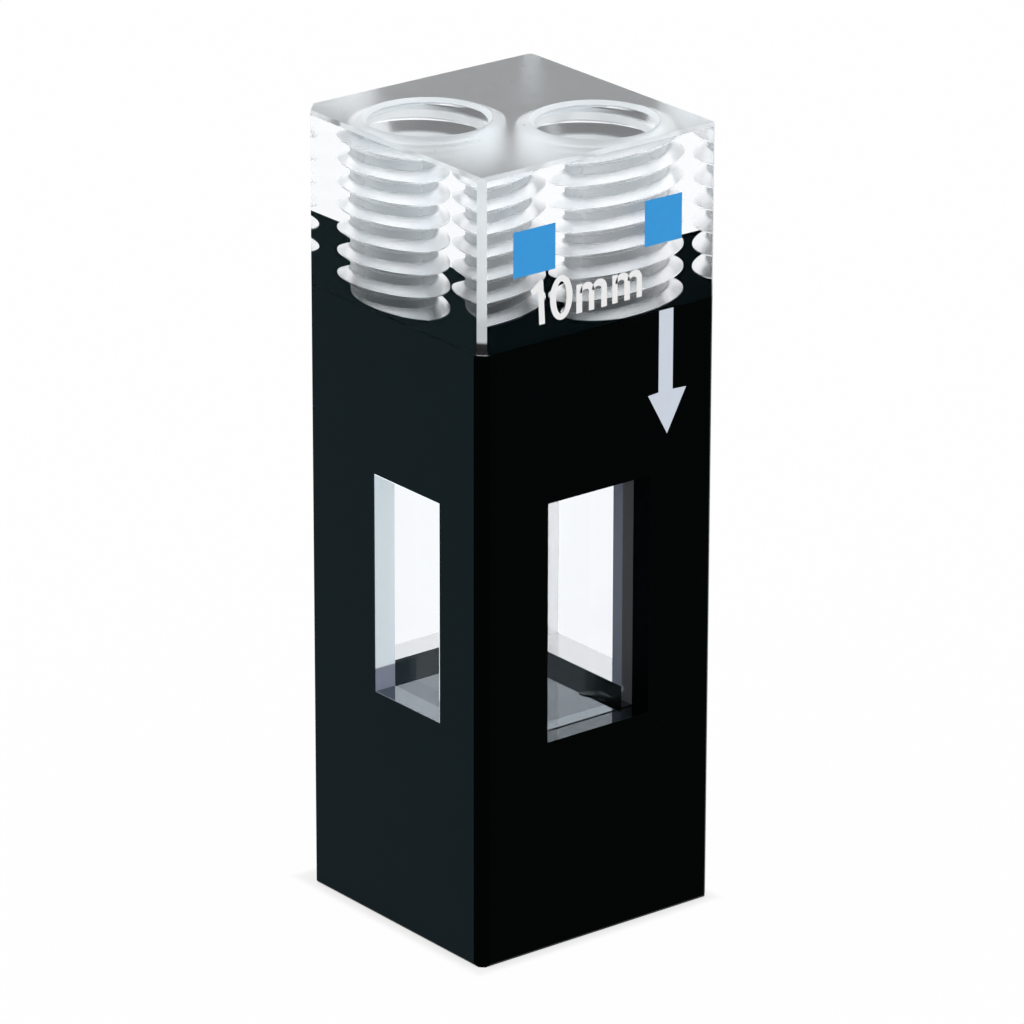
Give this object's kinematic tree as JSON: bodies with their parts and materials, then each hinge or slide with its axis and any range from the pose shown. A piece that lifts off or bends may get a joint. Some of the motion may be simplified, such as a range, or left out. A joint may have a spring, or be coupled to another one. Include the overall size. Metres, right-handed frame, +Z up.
{
  "type": "flow-through cuvette",
  "caption": "Square flow-through cuvette for fluorescence work: clear quartz head with threaded ports, on a black quartz body with a chamber behind clear windows.",
  "frame": {"origin": "middle of the underside, where the cell stands in its holder", "axes": "+Z up the cell to the ports; -Y out of the marked front face; -X out of the left window's side"},
  "size_m": [0.0126, 0.0126, 0.035],
  "materials": {
    "clear_quartz": "polished sides, ground top and threads",
    "black_quartz": "satin",
    "window_quartz": "polished",
    "white_print": "matte",
    "blue_print": "matte"
  },
  "bodies": {
    "root": {"port_block": "clear_quartz", "black_body": "black_quartz", "front_window": "window_quartz", "rear_window": "window_quartz", "left_window": "window_quartz", "right_window": "window_quartz"}
  },
  "joints": []
}
